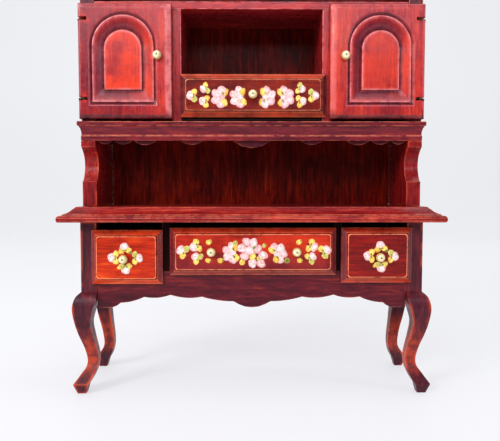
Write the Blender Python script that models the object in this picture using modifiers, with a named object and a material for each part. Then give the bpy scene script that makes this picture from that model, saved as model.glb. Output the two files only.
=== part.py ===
"""Dolls' house dresser, 1:12: a chest of drawers on cabriole legs with a cabinet on top.

Frame: metres, +X right, the front faces -Y, +Z up, origin on the floor under the
middle of the outline. Sizes below are in millimetres and are scaled once, by MM.
Depths are written from the front plane of the chest (0) towards the back (positive).
"""
import math

import bmesh
import bpy
from mathutils import Matrix, Vector

MM = 0.001
GLUE = 0.1              # joint line between glued pieces
RUN = 0.35              # running clearance of drawers and doors

# Chest
CASE_HALF = 63.9        # half width over the corner posts
CASE_DEPTH = 34.4
CASE_TOP = 64.5
POST = 5.9              # square corner post
KNEE_TOP = 38.2         # where the post ends and the knee begins
SIDE_THICK = 3.0
SIDE_INSET = 0.6
APRON_THICK = 3.0
APRON_BACK = 0.15       # apron face behind the faces of the posts
APRON_TOP = 45.8
DROP_Z = 32.2           # lowest points of the apron
FLOOR_THICK = 1.5
DIVIDER_X = 32.05
DIVIDER_THICK = 3.0

# Chest top board
TOP_Z = 70.1
TOP_BACK = 35.0

# Cabinet
HUTCH_FRONT = 4.15      # front plane of the cabinet carcass
HUTCH_HALF = 63.9
HUTCH_THICK = 5.3
BACK_THICK = 1.8
BACK_BOTTOM = 36.5
SHELF_BOTTOM = 94.8
SHELF_TOP = 101.9
SHELF_FRONT = 2.85
PARTITION_IN = 26.4     # inner face of the partitions
PARTITION_THICK = 3.6
BAY_FLOOR_TOP = 119.5
BAY_FLOOR_THICK = 1.5
RAIL_BOTTOM = 143.5
RAIL_TOP = 146.3
NICHE_SCROLL = (79.5, 92.4, 8.0)        # cove in the side board: bottom, top, deepest
DISPLAY_SCROLL = (155.5, 171.0, 7.55)
VALANCE_CUSP = 95.1
VALANCE_TOP = 97.3
VALANCE_THICK = 1.3
SHELF_NOSE = 2.0        # full-height strip along the front of the shelf board
CORNICE_BOTTOM = 177.0
CORNICE_HEIGHT = 7.2

# Doors
DOOR_INNER = {-1: 29.6, 1: 28.8}        # hand fitted, not quite a pair
DOOR_OUTER = 63.9
DOOR_BOTTOM = 102.7
DOOR_TOP = 144.7
DOOR_THICK = 3.2
DOOR_CHAMFER = 1.85
DOOR_KNOB_X = {-1: 34.7, 1: 34.3}
DOOR_KNOB_Z = 125.6
ARCH_X = 47.5
OUTER_ARCH = (11.3, 108.5, 140.3)       # half width, bottom, top
INNER_ARCH = (6.7, 113.4, 134.4)
ARCH_DEEP = 0.6
KERF = 1.25             # height of the saw kerf that holds a hinge
KERF_DEEP = 3.3
HINGE_Z = {"lower": 110.05, "upper": 139.2}
PIN_RADIUS = 0.35
LEAF = 0.42             # thickness of a hinge leaf
LEAF_GAP = 0.06         # from the middle of the kerf to either leaf
LEAF_REACH = 2.9
LEAF_NEAR = 0.5
LEAF_WIDE = 1.8
EYE_RADIUS = 0.85
PIN_LENGTH = 0.9
PIN_PLAY = 0.12

# Drawers
FRONT_THICK = 3.0
BOX_WALL = 1.2
BOX_BOTTOM = 0.9
BOX_BACK = 28.5         # depth of a box's back face
BOX_TOP = 60.6
UPPER_BOX_LONG = 26.0
UPPER_HEADROOM = 1.2
# x_low, x_high, z_low, z_high of each overlaid front: hand fitted, a little uneven
FRONTS = {
    "left": (-59.7, -33.1, 41.3, 61.6),
    "right": (33.1, 59.7, 41.7, 62.5),
    "wide": (-30.6, 31.4, 44.6, 62.4),
    "upper": (-26.95, 27.85, 103.4, 119.5),
}
KNOBS = {
    "left": [("knob_left", -47.2, 51.0)],
    "right": [("knob_right", 47.1, 51.6)],
    "wide": [("knob_wide_left", -15.0, 53.6), ("knob_wide_right", 16.4, 53.6)],
    "upper": [("knob_upper", 0.3, 111.5)],
}
KNOB_RADIUS = 1.7
KNOB_FOOT = 0.9         # radius of the flat where a bead meets the wood

MARGIN = 5.0            # how far a cutter reaches past what it cuts

BACK_FACE = CASE_DEPTH - BACK_THICK


def smooth_through(points, steps=5):
    """Points along a Catmull-Rom curve through the given 2D points."""
    ends = [points[0]] + list(points) + [points[-1]]
    result = []
    for index in range(1, len(ends) - 2):
        before, start, end, after = (Vector(p) for p in ends[index - 1:index + 3])
        for step in range(steps):
            t = step / steps
            result.append(0.5 * (
                2 * start
                + (end - before) * t
                + (2 * before - 5 * start + 4 * end - after) * t ** 2
                + (3 * start - before - 3 * end + after) * t ** 3
            ))
    result.append(Vector(points[-1]))
    return result


def lobed_edge(stations, steps=6):
    """A scalloped edge: (x, z, sag) stations joined by lobes that hang down by sag."""
    result = []
    for (x0, z0, sag), (x1, z1, _) in zip(stations, stations[1:]):
        for step in range(steps if sag else 1):
            t = step / steps
            drop = sag * 4 * t * (1 - t)
            result.append((x0 + (x1 - x0) * t, z0 + (z1 - z0) * t - drop))
    result.append(stations[-1][:2])
    return result


# Cabriole leg in front view: distance outside the post's outer face, height.
LEG_OUTER = smooth_through([
    (0.0, KNEE_TOP), (1.9, 36.3), (2.8, 33.2), (2.75, 30.3), (2.0, 26.0), (0.9, 21.8),
    (-0.6, 17.2), (-1.55, 12.5), (-1.2, 9.6), (0.6, 6.9), (2.9, 3.7),
])
LEG_INNER = smooth_through([
    (-2.4, 3.2), (-4.0, 5.9), (-5.3, 9.4), (-5.6, 12.6), (-5.1, 16.6), (-4.2, 21.6),
    (-3.6, 26.6), (-4.3, 30.3), (-4.85, 32.6),
])
FOOT_OUTER = (1.5, 0.0)
FOOT_INNER = (-1.6, 0.0)
KNEE_REACH = max(point[0] for point in LEG_OUTER)

TOP_PROFILE = [(6.6, 64.6), (7.0, 65.1), (7.0, 66.2), (6.5, 66.9), (5.4, 67.1),
               (5.1, 67.5), (4.2, 67.8), (3.1, 68.4), (2.3, 69.2), (1.6, 69.7), (1.3, TOP_Z)]
LIP_REACH = max(reach for reach, _ in TOP_PROFILE)
SHELF_PROFILE = [(0.0, SHELF_BOTTOM), (0.05, 96.5), (-0.15, 96.8), (-0.1, 98.0), (0.25, 99.3),
                 (0.8, 100.2), (1.2, 100.3), (1.22, 101.7), (1.0, SHELF_TOP)]
CORNICE_PROFILE = [(0.0, 0.0), (0.0, 1.6), (0.4, 1.7), (0.6, 2.9), (1.3, 4.1), (2.6, 4.8),
                   (3.5, 5.0), (3.9, 5.5), (3.9, 6.7), (3.5, CORNICE_HEIGHT)]

# World depth of the chest's front plane: it puts the origin under the middle.
FRONT_Y = (LIP_REACH - CASE_DEPTH - KNEE_REACH) / 2


def world(x, depth, z):
    return Vector((x, FRONT_Y + depth, z)) * MM


FINISHES = {
    "mahogany": ((0.23, 0.022, 0.024, 1), 0.28, 0.0),
    "dark_mahogany": ((0.09, 0.010, 0.014, 1), 0.32, 0.0),
    "bright_mahogany": ((0.40, 0.040, 0.018, 1), 0.25, 0.0),
    "drawer_wood": ((0.30, 0.10, 0.05, 1), 0.6, 0.0),
    "cream_bead": ((0.85, 0.78, 0.60, 1), 0.25, 0.0),
    "brass": ((0.80, 0.60, 0.25, 1), 0.3, 1.0),
}


def make_collection(name):
    made = bpy.data.collections.new(name)
    bpy.context.scene.collection.children.link(made)
    return made


def finish_object(obj, name, finish, parent=None):
    """Name, paint and file a part; a parent keeps the part where it stands."""
    obj.name = name
    obj.data.name = name
    colour, roughness, metallic = FINISHES[finish]
    paint = bpy.data.materials.new(name + "_" + finish)
    paint.use_nodes = True
    shader = paint.node_tree.nodes["Principled BSDF"]
    shader.inputs["Base Color"].default_value = colour
    shader.inputs["Roughness"].default_value = roughness
    shader.inputs["Metallic"].default_value = metallic
    paint.diffuse_color = colour
    obj.data.materials.clear()
    obj.data.materials.append(paint)
    PARTS.objects.link(obj)
    if parent:
        obj.parent = parent
        obj.matrix_parent_inverse = Matrix.Translation(parent.location).inverted()
    return obj


def mesh_object(name, bm):
    bmesh.ops.recalc_face_normals(bm, faces=bm.faces)
    mesh = bpy.data.meshes.new(name)
    bm.to_mesh(mesh)
    bm.free()
    return bpy.data.objects.new(name, mesh)


def box_object(name, low, high):
    """A box between two corners in millimetres (x, depth, z), placed at its centre."""
    size = [abs(b - a) * MM for a, b in zip(low, high)]
    bm = bmesh.new()
    bmesh.ops.create_cube(bm, size=1.0, matrix=Matrix.Diagonal((*size, 1.0)))
    obj = mesh_object(name, bm)
    obj.location = world(*[(a + b) / 2 for a, b in zip(low, high)])
    return obj


def board(name, low, high, finish, parent=None):
    return finish_object(box_object(name, low, high), name, finish, parent)


def rod(name, radius, length):
    bm = bmesh.new()
    bmesh.ops.create_cone(
        bm, cap_ends=True, segments=16, radius1=radius * MM, radius2=radius * MM,
        depth=length * MM)
    return mesh_object(name, bm)


def outline_object(name, outlines, thickness, rotation):
    """A flat outline in its own plane, given thickness about that plane, as a mesh."""
    curve = bpy.data.curves.new(name, "CURVE")
    curve.dimensions = "2D"
    curve.fill_mode = "BOTH"
    curve.extrude = thickness * MM / 2
    for outline in outlines:
        spline = curve.splines.new("POLY")
        spline.points.add(len(outline) - 1)
        for point, (u, v) in zip(spline.points, outline):
            point.co = (u * MM, v * MM, 0.0, 1.0)
        spline.use_cyclic_u = True
    flat = bpy.data.objects.new(name + "_outline", curve)
    bpy.context.scene.collection.objects.link(flat)
    flat.rotation_euler = rotation
    bpy.context.view_layer.update()
    evaluated = flat.evaluated_get(bpy.context.evaluated_depsgraph_get())
    mesh = bpy.data.meshes.new_from_object(evaluated)
    mesh.transform(flat.matrix_world)
    bm = bmesh.new()
    bm.from_mesh(mesh)
    bmesh.ops.remove_doubles(bm, verts=bm.verts, dist=1e-7)
    bpy.data.objects.remove(flat)
    bpy.data.curves.remove(curve)
    bpy.data.meshes.remove(mesh)
    return mesh_object(name, bm)


FACING_FRONT = (math.pi / 2, 0.0, 0.0)              # outline axes become X and Z
FACING_SIDE = (math.pi / 2, 0.0, math.pi / 2)       # outline axes become Y and Z
FACING_UP = (0.0, 0.0, 0.0)                         # outline axes stay X and Y


def front_outline(name, outlines, depth, thickness):
    """An outline in X and Z, as a board whose front face lies at the given depth."""
    obj = outline_object(name, outlines, thickness, FACING_FRONT)
    obj.location = world(0.0, depth + thickness / 2, 0.0)
    return obj


def side_outline(name, outlines, x_middle, thickness):
    """An outline in depth and Z, as a board about the given X."""
    obj = outline_object(name, outlines, thickness, FACING_SIDE)
    obj.location = world(x_middle, 0.0, 0.0)
    return obj


def cut(obj, cutter, operation="DIFFERENCE"):
    """Shape obj with a cutter that stays in the file, hidden."""
    cutter.hide_render = True
    cutter.display_type = "WIRE"
    if cutter.name not in CUTTERS.objects:
        CUTTERS.objects.link(cutter)
    modifier = obj.modifiers.new(operation.lower(), "BOOLEAN")
    modifier.operation = operation
    modifier.object = cutter
    modifier.solver = "EXACT"


def stepped_block(name, sections):
    """A block through rectangular sections, each four corners in one plane, bridged."""
    bm = bmesh.new()
    rings = []
    for corners in sections:
        verts = [bm.verts.new(world(*corner)) for corner in corners]
        rings.append([bm.edges.new((verts[i], verts[(i + 1) % 4])) for i in range(4)])
    for lower, upper in zip(rings, rings[1:]):
        bmesh.ops.bridge_loops(bm, edges=lower + upper)
    for ring in (rings[0], rings[-1]):
        bmesh.ops.contextual_create(bm, geom=ring)
    return mesh_object(name, bm)


def moulded_board(name, half, front, back, profile):
    """A board with its moulding on the front and both ends, and a straight back."""
    sections = []
    for reach, z in profile:
        x = half + reach
        y = front - reach
        sections.append([(-x, y, z), (x, y, z), (x, back, z), (-x, back, z)])
    return stepped_block(name, sections)


def raised_front(name, x_low, x_high, z_low, z_high, back_depth, steps):
    """A drawer front or door slab: steps are (inset, height above the back face)."""
    sections = []
    for inset, height in steps:
        y = back_depth - height
        sections.append([
            (x_low + inset, y, z_low + inset),
            (x_high - inset, y, z_low + inset),
            (x_high - inset, y, z_high - inset),
            (x_low + inset, y, z_high - inset),
        ])
    return stepped_block(name, sections)


def knob(name, x, face_depth, z, parent):
    """A bead cut flat at its foot: a profile turned about its own Z, laid towards the front."""
    steps = 9
    last_angle = math.pi - math.asin(KNOB_FOOT / KNOB_RADIUS)
    angles = [last_angle * step / steps for step in range(steps + 1)]
    foot = KNOB_RADIUS * math.cos(last_angle)
    profile = [(KNOB_RADIUS * math.sin(a), KNOB_RADIUS * math.cos(a) - foot) for a in angles]
    profile.append((0.0, 0.0))
    bm = bmesh.new()
    verts = [bm.verts.new((r * MM, 0.0, h * MM)) for r, h in profile]
    for pair in zip(verts, verts[1:]):
        bm.edges.new(pair)
    mesh = bpy.data.meshes.new(name)
    bm.to_mesh(mesh)
    bm.free()
    obj = bpy.data.objects.new(name, mesh)
    spin = obj.modifiers.new("turn", "SCREW")
    spin.steps = 20
    spin.render_steps = 20
    spin.use_merge_vertices = True
    spin.merge_threshold = 1e-6
    obj.location = world(x, face_depth - GLUE, z)
    obj.rotation_euler = (math.pi / 2, 0.0, 0.0)
    return finish_object(obj, name, "cream_bead", parent)


def pivot(name, x, depth, z):
    empty = bpy.data.objects.new(name, None)
    empty.location = world(x, depth, z)
    empty.empty_display_size = 5 * MM
    PARTS.objects.link(empty)
    return empty


def leg(name, side, at_back):
    """Post and cabriole leg, sawn to the same outline from the front and from the side."""
    outline = [(0.0, CASE_TOP)] + [tuple(p) for p in LEG_OUTER] + [FOOT_OUTER, FOOT_INNER]
    outline += [tuple(p) for p in LEG_INNER] + [(-POST, KNEE_TOP - 3), (-POST, CASE_TOP)]
    seen_front = [(side * (CASE_HALF + u), v) for u, v in outline]
    if at_back:
        seen_side = [(CASE_DEPTH + u, v) for u, v in outline]
    else:
        seen_side = [(-u, v) for u, v in outline]
    room = 2 * MARGIN
    obj = front_outline(name, [seen_front], -room, CASE_DEPTH + 2 * room)
    cutter = side_outline(name + "_side_cut", [seen_side], 0.0, 2 * (CASE_HALF + room))
    cut(obj, cutter, "INTERSECT")
    finish_object(obj, name, "mahogany")


def side_panel(name, side):
    """Chest side between the posts, with a shallow arch along its lower edge."""
    start = POST + GLUE
    end = CASE_DEPTH - POST - GLUE
    low = 33.6
    flat = 3.0
    rise = -2.2
    edge = lobed_edge(
        [(end, low, 0.0), (end - flat, low, rise), (start + flat, low, 0.0), (start, low, 0.0)])
    outline = [(start, CASE_TOP), (end, CASE_TOP)] + edge
    middle = side * (CASE_HALF - SIDE_INSET - SIDE_THICK / 2)
    finish_object(side_outline(name, [outline], middle, SIDE_THICK), name, "mahogany")


def make_chest():
    for side, word in ((-1, "left"), (1, "right")):
        leg("leg_front_" + word, side, False)
        leg("leg_rear_" + word, side, True)
        side_panel("chest_side_" + word, side)
        middle = side * DIVIDER_X
        board(
            "divider_" + word,
            (middle - DIVIDER_THICK / 2, 0.0, APRON_TOP + GLUE),
            (middle + DIVIDER_THICK / 2, BACK_FACE - GLUE, CASE_TOP),
            "dark_mahogany",
        )
    make_apron()
    make_floor()
    make_top()


def make_apron():
    half = CASE_HALF - POST - GLUE
    right = [
        (0.0, DROP_Z, 0.0), (2.6, 32.5, 0.0), (5.0, 33.4, 0.0), (7.0, 34.5, 0.45),
        (18.8, 36.2, 0.75), (30.6, 36.95, 0.7), (40.4, 36.2, 0.5), (49.3, 34.0, 0.0),
        (50.6, 33.0, 0.0), (52.5, DROP_Z, 0.0), (half, DROP_Z, 0.0),
    ]
    edge = lobed_edge(right)
    mirrored = [(-x, z) for x, z in reversed(edge[1:])]
    outline = mirrored + edge + [(half, APRON_TOP), (-half, APRON_TOP)]
    finish_object(front_outline("apron", [outline], APRON_BACK, APRON_THICK), "apron", "mahogany")


def make_floor():
    """Floor board notched round the four posts, flush with the top edge of the apron."""
    wide = CASE_HALF - SIDE_INSET - SIDE_THICK - GLUE
    narrow = CASE_HALF - POST - GLUE
    front = APRON_BACK + APRON_THICK + GLUE
    notch_front = POST + GLUE
    notch_back = CASE_DEPTH - POST - GLUE
    right = [(narrow, front), (narrow, notch_front), (wide, notch_front), (wide, notch_back),
             (narrow, notch_back), (narrow, BACK_FACE - GLUE)]
    outline = right + [(-x, y) for x, y in reversed(right)]
    obj = outline_object("drawer_floor", [outline], FLOOR_THICK, FACING_UP)
    obj.location = world(0.0, 0.0, APRON_TOP - FLOOR_THICK / 2)
    finish_object(obj, "drawer_floor", "dark_mahogany")


def back_slot():
    """Room for the back panel behind the boards that reach past it."""
    half = HUTCH_HALF - HUTCH_THICK
    low = (-half, BACK_FACE - GLUE, BACK_BOTTOM)
    high = (half, CASE_DEPTH + MARGIN, CORNICE_BOTTOM)
    return box_object("back_slot", low, high)


def make_top():
    top = moulded_board("chest_top", CASE_HALF, 0.0, TOP_BACK, TOP_PROFILE)
    cut(top, SLOT)
    finish_object(top, "chest_top", "mahogany")


def scroll_edge(z_low, z_high, scroll, lower, upper):
    """Front edge of a side board, bottom to top: block, cove between two depths, block."""
    z_ledge, z_upper, deepest = scroll
    edge = [(lower, z_low), (lower, z_ledge)]
    steps = 12
    ledge = 0.7
    fullness = 0.75
    for step in range(steps + 1):
        t = step / steps
        z = z_ledge + (z_upper - z_ledge) * t
        bow = math.sin(math.pi * t) ** fullness
        start = lower + ledge if step < steps / 2 else upper
        edge.append((start + (deepest - start) * bow, z))
    edge += [(upper, z_upper), (upper, z_high)]
    return edge


def make_cabinet():
    back_edge = CASE_DEPTH
    for side, word in ((-1, "left"), (1, "right")):
        middle = side * (HUTCH_HALF - HUTCH_THICK / 2)
        name = "niche_side_" + word
        edge = scroll_edge(
            TOP_Z + GLUE, SHELF_BOTTOM - GLUE, NICHE_SCROLL, HUTCH_FRONT, SHELF_FRONT)
        outline = edge + [(back_edge, SHELF_BOTTOM - GLUE), (back_edge, TOP_Z + GLUE)]
        finish_object(side_outline(name, [outline], middle, HUTCH_THICK), name, "mahogany")

        name = "cabinet_side_" + word
        edge = scroll_edge(
            SHELF_TOP + GLUE, CORNICE_BOTTOM - GLUE, DISPLAY_SCROLL, HUTCH_FRONT, HUTCH_FRONT)
        outline = edge + [(back_edge, CORNICE_BOTTOM - GLUE), (back_edge, SHELF_TOP + GLUE)]
        obj = side_outline(name, [outline], middle, HUTCH_THICK)
        for height in HINGE_Z.values():
            low = (side * (HUTCH_HALF - KERF_DEEP), HUTCH_FRONT - MARGIN, height - KERF / 2)
            high = (side * (HUTCH_HALF + MARGIN), HUTCH_FRONT + KERF_DEEP, height + KERF / 2)
            cut(obj, box_object(name + "_kerf", low, high))
        finish_object(obj, name, "mahogany")

        inner = side * PARTITION_IN
        outer = side * (PARTITION_IN + PARTITION_THICK)
        board(
            "partition_" + word,
            (inner, HUTCH_FRONT, SHELF_TOP + GLUE),
            (outer, BACK_FACE - GLUE, RAIL_BOTTOM - GLUE),
            "mahogany",
        )
    half = HUTCH_HALF - HUTCH_THICK - GLUE
    bay = PARTITION_IN - GLUE
    board(
        "bay_floor",
        (-bay, HUTCH_FRONT, BAY_FLOOR_TOP - BAY_FLOOR_THICK),
        (bay, BACK_FACE - GLUE, BAY_FLOOR_TOP),
        "mahogany",
    )
    board(
        "cabinet_top",
        (-half, HUTCH_FRONT, RAIL_BOTTOM),
        (half, BACK_FACE - GLUE, RAIL_TOP),
        "mahogany",
    )
    make_shelf()
    make_valance()
    make_back()
    make_cornice()


def make_shelf():
    """Moulded shelf board, thinner behind its front and end mouldings."""
    shelf = moulded_board("shelf_board", HUTCH_HALF, SHELF_FRONT, TOP_BACK, SHELF_PROFILE)
    half = HUTCH_HALF - HUTCH_THICK
    low = (-half, SHELF_FRONT + SHELF_NOSE, SHELF_BOTTOM - MARGIN)
    high = (half, CASE_DEPTH + MARGIN, VALANCE_TOP + GLUE)
    pocket = box_object("shelf_pocket", low, high)
    cut(shelf, SLOT)
    cut(shelf, pocket)
    finish_object(shelf, "shelf_board", "mahogany")


def make_valance():
    half = HUTCH_HALF - HUTCH_THICK - GLUE
    cusp = VALANCE_CUSP
    right = [
        (0.0, 92.1, 0.0), (3.8, 92.8, 0.0), (7.6, cusp, 0.2), (18.0, cusp, 1.8),
        (27.5, cusp, 0.2), (35.6, cusp, 1.9), (44.9, cusp, 1.7), (52.3, cusp, 1.6),
        (half, cusp, 0.0),
    ]
    edge = lobed_edge(right)
    mirrored = [(-x, z) for x, z in reversed(edge[1:])]
    outline = mirrored + edge + [(half, VALANCE_TOP), (-half, VALANCE_TOP)]
    obj = front_outline("valance", [outline], SHELF_FRONT + SHELF_NOSE + GLUE, VALANCE_THICK)
    finish_object(obj, "valance", "mahogany")


def make_back():
    """One panel behind everything, narrower between the rear posts."""
    low_half = CASE_HALF - POST - GLUE
    high_half = HUTCH_HALF - HUTCH_THICK - GLUE
    shoulder = CASE_TOP + 0.4
    right = [(low_half, BACK_BOTTOM), (low_half, CASE_TOP), (high_half, shoulder),
             (high_half, CORNICE_BOTTOM - GLUE)]
    outline = right + [(-x, z) for x, z in reversed(right)]
    obj = front_outline("back_panel", [outline], BACK_FACE, BACK_THICK)
    finish_object(obj, "back_panel", "dark_mahogany")


def make_cornice():
    profile = [(reach, CORNICE_BOTTOM + height) for reach, height in CORNICE_PROFILE]
    obj = moulded_board("cornice", HUTCH_HALF, HUTCH_FRONT, TOP_BACK, profile)
    finish_object(obj, "cornice", "mahogany")


def arch_outline(half, z_low, z_high, steps=14):
    """An upright shape with a round head, about X = 0."""
    spring = z_high - half
    outline = [(-half, z_low), (half, z_low)]
    for step in range(steps + 1):
        angle = math.pi * step / steps
        outline.append((half * math.cos(angle), spring + half * math.sin(angle)))
    return outline


def make_door(word, side):
    hinge = pivot("door_" + word + "_axis", side * DOOR_OUTER, HUTCH_FRONT - RUN / 2, DOOR_BOTTOM)
    name = "door_" + word
    back = HUTCH_FRONT - RUN
    x_low, x_high = sorted((side * DOOR_INNER[side], side * DOOR_OUTER))
    steps = [(0.0, 0.0), (0.0, DOOR_THICK - 1.2), (0.5, DOOR_THICK - 0.55),
             (DOOR_CHAMFER, DOOR_THICK)]
    obj = raised_front(name, x_low, x_high, DOOR_BOTTOM, DOOR_TOP, back, steps)
    arches = [arch_outline(*OUTER_ARCH), arch_outline(*INNER_ARCH)]
    shifted = [[(side * ARCH_X + x, z) for x, z in arch] for arch in arches]
    face = back - DOOR_THICK
    groove = front_outline(name + "_arch_cut", shifted, face - MARGIN, MARGIN + ARCH_DEEP)
    cut(obj, groove)
    for height in HINGE_Z.values():
        low = (side * (DOOR_OUTER - KERF_DEEP), face - MARGIN, height - KERF / 2)
        high = (side * (DOOR_OUTER + MARGIN), back + MARGIN, height + KERF / 2)
        cut(obj, box_object(name + "_kerf", low, high))
    finish_object(obj, name, "mahogany", hinge)
    knob("knob_door_" + word, side * DOOR_KNOB_X[side], face, DOOR_KNOB_Z, hinge)
    for place, height in HINGE_Z.items():
        make_hinge("hinge_" + word + "_" + place, side, height, hinge)


def hinge_leaf(name, side, into_case, z_low, hole):
    """A flat brass leaf with its eye round the pin, let into the case or into the door."""
    outline = []
    for step in range(9):
        angle = math.pi / 2 + math.pi * step / 8
        outline.append((EYE_RADIUS * math.cos(angle), EYE_RADIUS * math.sin(angle)))
    outline += [(LEAF_REACH, -LEAF_NEAR - LEAF_WIDE), (LEAF_REACH, -LEAF_NEAR)]
    if into_case:
        turned = [(v * side, u) for u, v in outline]
    else:
        turned = [(-u * side, v) for u, v in outline]
    obj = outline_object(name, [turned], LEAF, FACING_UP)
    obj.location = world(side * DOOR_OUTER, HUTCH_FRONT - RUN / 2, z_low + LEAF / 2)
    if hole:
        drill = rod(name + "_hole", hole, 4 * LEAF)
        drill.location = obj.location
        cut(obj, drill)
    return obj


def make_hinge(name, side, height, hinge):
    """Knife hinge: the case leaf carries the pin and the door leaf turns on it."""
    hole = PIN_RADIUS + PIN_PLAY
    door_leaf = hinge_leaf(name + "_door_leaf", side, False, height + LEAF_GAP, hole)
    finish_object(door_leaf, name + "_door_leaf", "brass", hinge)
    case_leaf = hinge_leaf(name + "_case_leaf", side, True, height - LEAF_GAP - LEAF, 0.0)
    pin = rod(name + "_pin", PIN_RADIUS, PIN_LENGTH)
    lift = PIN_LENGTH / 2 - LEAF / 4
    pin.location = case_leaf.location + Vector((0.0, 0.0, lift * MM))
    cut(case_leaf, pin, "UNION")
    finish_object(case_leaf, name + "_case_leaf", "brass")


def make_drawer(word, opening, face_back, box_back):
    """A drawer: overlaid raised front, a box of four boards behind it, and its knobs.

    opening is (x_low, x_high, z_low, z_high) of the box.
    """
    x_low, x_high, z_low, z_high = FRONTS[word]
    slide = pivot("drawer_" + word + "_axis", (x_low + x_high) / 2, face_back, (z_low + z_high) / 2)
    name = "drawer_" + word
    steps = [(0.0, 0.0), (0.0, 1.3), (0.9, 1.75), (1.7, 2.15), (2.25, 2.4), (2.35, 2.85),
             (2.55, FRONT_THICK)]
    front = raised_front(name + "_front", x_low, x_high, z_low, z_high, face_back, steps)
    finish_object(front, name + "_front", "bright_mahogany", slide)
    left, right, bottom, top = opening
    start = face_back + GLUE
    inner_left = left + BOX_WALL + GLUE
    inner_right = right - BOX_WALL - GLUE
    for end, x in (("left", left), ("right", right - BOX_WALL)):
        board(name + "_side_" + end, (x, start, bottom), (x + BOX_WALL, box_back, top),
              "drawer_wood", slide)
    board(name + "_back", (inner_left, box_back - BOX_WALL, bottom + BOX_BOTTOM + GLUE),
          (inner_right, box_back, top), "drawer_wood", slide)
    board(name + "_bottom", (inner_left, start, bottom), (inner_right, box_back, bottom + BOX_BOTTOM),
          "drawer_wood", slide)
    for knob_name, x, z in KNOBS[word]:
        knob(knob_name, x, face_back - FRONT_THICK, z, slide)


def make_drawers():
    low = APRON_TOP + RUN
    outer = CASE_HALF - POST - RUN
    inner = DIVIDER_X + DIVIDER_THICK / 2 + RUN
    for side, word in ((-1, "left"), (1, "right")):
        opening = (*sorted((side * inner, side * outer)), low, BOX_TOP)
        make_drawer(word, opening, -RUN, BOX_BACK)
    half = DIVIDER_X - DIVIDER_THICK / 2 - RUN
    make_drawer("wide", (-half, half, low, BOX_TOP), -RUN, BOX_BACK)
    half = PARTITION_IN - RUN
    top = BAY_FLOOR_TOP - BAY_FLOOR_THICK - UPPER_HEADROOM
    opening = (-half, half, SHELF_TOP + RUN, top)
    make_drawer("upper", opening, HUTCH_FRONT - RUN, HUTCH_FRONT + UPPER_BOX_LONG)


for old in list(bpy.data.objects):
    bpy.data.objects.remove(old)
PARTS = make_collection("dolls_house_dresser")
CUTTERS = make_collection("cutters")
SLOT = back_slot()
make_chest()
make_cabinet()
make_door("left", -1)
make_door("right", 1)
make_drawers()
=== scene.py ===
"""Looks for the dolls' house dresser: wood with its staining and lacquer, painted blossoms, pale
studio.
"""
import math
import random

import bmesh
import bpy
from mathutils import Matrix, Vector


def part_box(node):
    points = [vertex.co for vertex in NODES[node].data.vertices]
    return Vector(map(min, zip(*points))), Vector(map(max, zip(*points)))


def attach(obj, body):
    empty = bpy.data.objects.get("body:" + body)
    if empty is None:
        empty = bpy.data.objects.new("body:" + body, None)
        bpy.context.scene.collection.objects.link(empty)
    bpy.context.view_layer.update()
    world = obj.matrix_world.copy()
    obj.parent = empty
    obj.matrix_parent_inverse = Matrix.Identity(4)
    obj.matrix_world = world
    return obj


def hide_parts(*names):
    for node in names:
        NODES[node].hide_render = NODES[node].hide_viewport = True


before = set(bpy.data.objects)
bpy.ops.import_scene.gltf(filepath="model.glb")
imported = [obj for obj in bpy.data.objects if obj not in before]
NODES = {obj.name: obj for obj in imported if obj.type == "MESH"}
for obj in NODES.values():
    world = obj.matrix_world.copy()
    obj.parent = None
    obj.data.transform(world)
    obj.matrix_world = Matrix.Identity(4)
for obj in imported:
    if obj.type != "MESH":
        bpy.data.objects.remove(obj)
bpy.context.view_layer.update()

MM = 0.001
CHOICE = random.Random(7)

# ---------------------------------------------------------------- node helpers


def srgb(red, green, blue):
    """Linear RGBA for a colour written in 0-255 display values."""
    channels = []
    for value in (red, green, blue):
        share = value / 255
        channels.append(share / 12.92 if share <= 0.04045 else ((share + 0.055) / 1.055) ** 2.4)
    return (*channels, 1.0)


def plug(tree, socket, value):
    """Link a socket into the input, or write a constant on it."""
    if isinstance(value, bpy.types.NodeSocket):
        tree.links.new(value, socket)
    else:
        socket.default_value = value


def add(tree, kind, settings=None, **inputs):
    """A shader node with its properties set and its named inputs linked or filled in."""
    made = tree.nodes.new("ShaderNode" + kind)
    for key, value in (settings or {}).items():
        setattr(made, key, value)
    for key, value in inputs.items():
        plug(tree, made.inputs[key.replace("_", " ")], value)
    return made


def maths(tree, operation, first, second):
    made = tree.nodes.new("ShaderNodeMath")
    made.operation = operation
    plug(tree, made.inputs[0], first)
    plug(tree, made.inputs[1], second)
    return made.outputs[0]


def blend_colour(tree, share, first, second, mode="MIX"):
    made = tree.nodes.new("ShaderNodeMix")
    made.data_type = "RGBA"
    made.blend_type = mode
    plug(tree, made.inputs[0], share)
    plug(tree, made.inputs[6], first)
    plug(tree, made.inputs[7], second)
    return made.outputs[2]


def spread(tree, value, low, high, to_low=0.0, to_high=1.0, smooth=True):
    """value from low..high to to_low..to_high, clamped."""
    made = add(tree, "MapRange", {"interpolation_type": "SMOOTHSTEP" if smooth else "LINEAR"})
    for socket, number in zip(("Value", "From Min", "From Max", "To Min", "To Max"),
                              (value, low, high, to_low, to_high)):
        plug(tree, made.inputs[socket], number)
    return made.outputs["Result"]


def noise(tree, vector, scale, detail=3.0, roughness=0.55, distortion=0.0):
    made = add(tree, "TexNoise", None, Vector=vector, Scale=scale, Detail=detail,
               Roughness=roughness, Distortion=distortion)
    return made.outputs["Fac"]


def object_place(tree, axis=None):
    """Object coordinates, or one axis of them."""
    place = add(tree, "TexCoord").outputs["Object"]
    return add(tree, "SeparateXYZ", None, Vector=place).outputs[axis] if axis else place


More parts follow.
